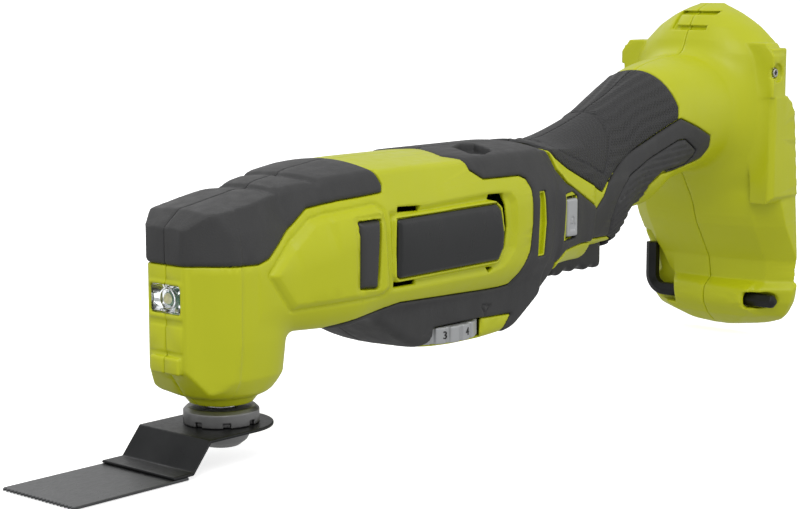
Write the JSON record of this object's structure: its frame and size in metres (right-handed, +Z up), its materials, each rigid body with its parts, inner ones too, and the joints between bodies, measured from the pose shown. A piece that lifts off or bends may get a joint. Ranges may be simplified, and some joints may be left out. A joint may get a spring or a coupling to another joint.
{
  "type": "oscillating multi tool",
  "caption": "Cordless oscillating multi tool with offset plunge blade, keyed blade clamp, speed dial, paddle trigger, stored hex key and open rear battery foot.",
  "frame": {"origin": "centre of the bounding box in plan, at the level of the blade's underside, the lowest point", "axes": "+X to the rear, from the blade to the battery foot; -Y the operator's left side; +Z up"},
  "size_m": [0.3606, 0.0726, 0.1346],
  "materials": {
    "lime_housing": "satin moulded",
    "soft_overmould": "fine grained matt",
    "grip_overmould": "ribbed matt",
    "dark_plastic": "matt",
    "name_plate": "satin",
    "clear_lens": "clear",
    "silver_plastic": "satin metallic",
    "bright_steel": "ground",
    "grey_steel": "zinc grey",
    "black_steel": "black oxide",
    "cast_metal": "as cast",
    "copper_winding": "lacquered",
    "brass": "bright",
    "circuit_board": "solder mask",
    "carbon": "matt",
    "red_insulation": "satin",
    "black_insulation": "satin"
  },
  "bodies": {
    "housing": {"housing_left": "lime_housing", "housing_right": "lime_housing", "head_cover_left": "soft_overmould", "head_cover_right": "soft_overmould", "body_grip_left": "soft_overmould", "body_grip_right": "soft_overmould", "handle_grip_upper_left": "grip_overmould", "handle_grip_upper_right": "grip_overmould", "handle_grip_lower_left": "grip_overmould", "handle_grip_lower_right": "grip_overmould", "side_strip_left": "soft_overmould", "side_strip_right": "soft_overmould", "name_plate_left": "name_plate", "name_plate_right": "name_plate", "led_lens": "clear_lens", "led_board": "circuit_board", "gear_case": "cast_metal", "spindle_bearing_lower": "bright_steel", "spindle_bearing_upper": "bright_steel", "dust_seal": "dark_plastic", "motor_can": "grey_steel", "motor_end_cap": "dark_plastic", "motor_bearing_front": "bright_steel", "motor_bearing_rear": "bright_steel", "carbon_brush_left": "carbon", "carbon_brush_right": "carbon", "dial_board": "circuit_board", "trigger_spring": "bright_steel", "switch_module": "dark_plastic", "control_board": "circuit_board", "battery_terminal_block": "dark_plastic", "terminal_blade_plus": "brass", "terminal_blade_minus": "brass", "terminal_blade_sense": "brass", "foot_screw_left": "bright_steel", "foot_screw_right": "bright_steel", "housing_screw_1": "grey_steel", "housing_screw_2": "grey_steel", "housing_screw_3": "grey_steel", "housing_screw_4": "grey_steel", "motor_lead_red": "red_insulation", "motor_lead_black": "black_insulation"},
    "spindle": {"spindle_shaft": "bright_steel", "tool_flange": "grey_steel", "oscillating_fork": "grey_steel"},
    "clamp": {"clamp_bolt": "grey_steel", "clamp_washer": "grey_steel", "blade_bracket": "black_steel", "blade_plate": "black_steel"},
    "rotor": {"motor_shaft": "bright_steel", "armature_core": "copper_winding", "commutator": "copper_winding", "cooling_fan": "dark_plastic", "eccentric_bearing": "bright_steel"},
    "speed_dial": {"speed_dial": "silver_plastic"},
    "trigger": {"trigger": "dark_plastic"},
    "lock_button": {"lock_button": "silver_plastic"},
    "hex_key": {"hex_key": "black_steel"}
  },
  "joints": [
    {"name": "spindle_oscillation", "type": "hinge", "parent": "housing", "child": "spindle", "pos_m": [-0.10875, 0, 0.0103], "axis": [0, 0, 1], "range_deg": [-1.5, 1.5]},
    {"name": "blade_clamp_release", "type": "slide", "parent": "spindle", "child": "clamp", "axis": [0, 0, -1], "range_m": [0, 0.03]},
    {"name": "motor_spin", "type": "hinge", "parent": "housing", "child": "rotor", "pos_m": [-0.03875, 0, 0.0603], "axis": [1, 0, 0], "continuous": true},
    {"name": "speed_dial_turn", "type": "hinge", "parent": "housing", "child": "speed_dial", "pos_m": [-0.02025, 0, 0.02705], "axis": [0, 0, 1], "range_deg": [-90, 60]},
    {"name": "trigger_squeeze", "type": "slide", "parent": "housing", "child": "trigger", "axis": [0, 0, 1], "range_m": [0, 0.0035], "stiffness_N_per_m": 500, "springref_m": -0.002, "deforming": ["trigger_spring"]},
    {"name": "lock_button_slide", "type": "slide", "parent": "housing", "child": "lock_button", "axis": [0, 1, 0], "range_m": [-0.003, 0.003]},
    {"name": "hex_key_draw", "type": "slide", "parent": "housing", "child": "hex_key", "axis": [0, 1, 0], "range_m": [0, 0.066]}
  ]
}
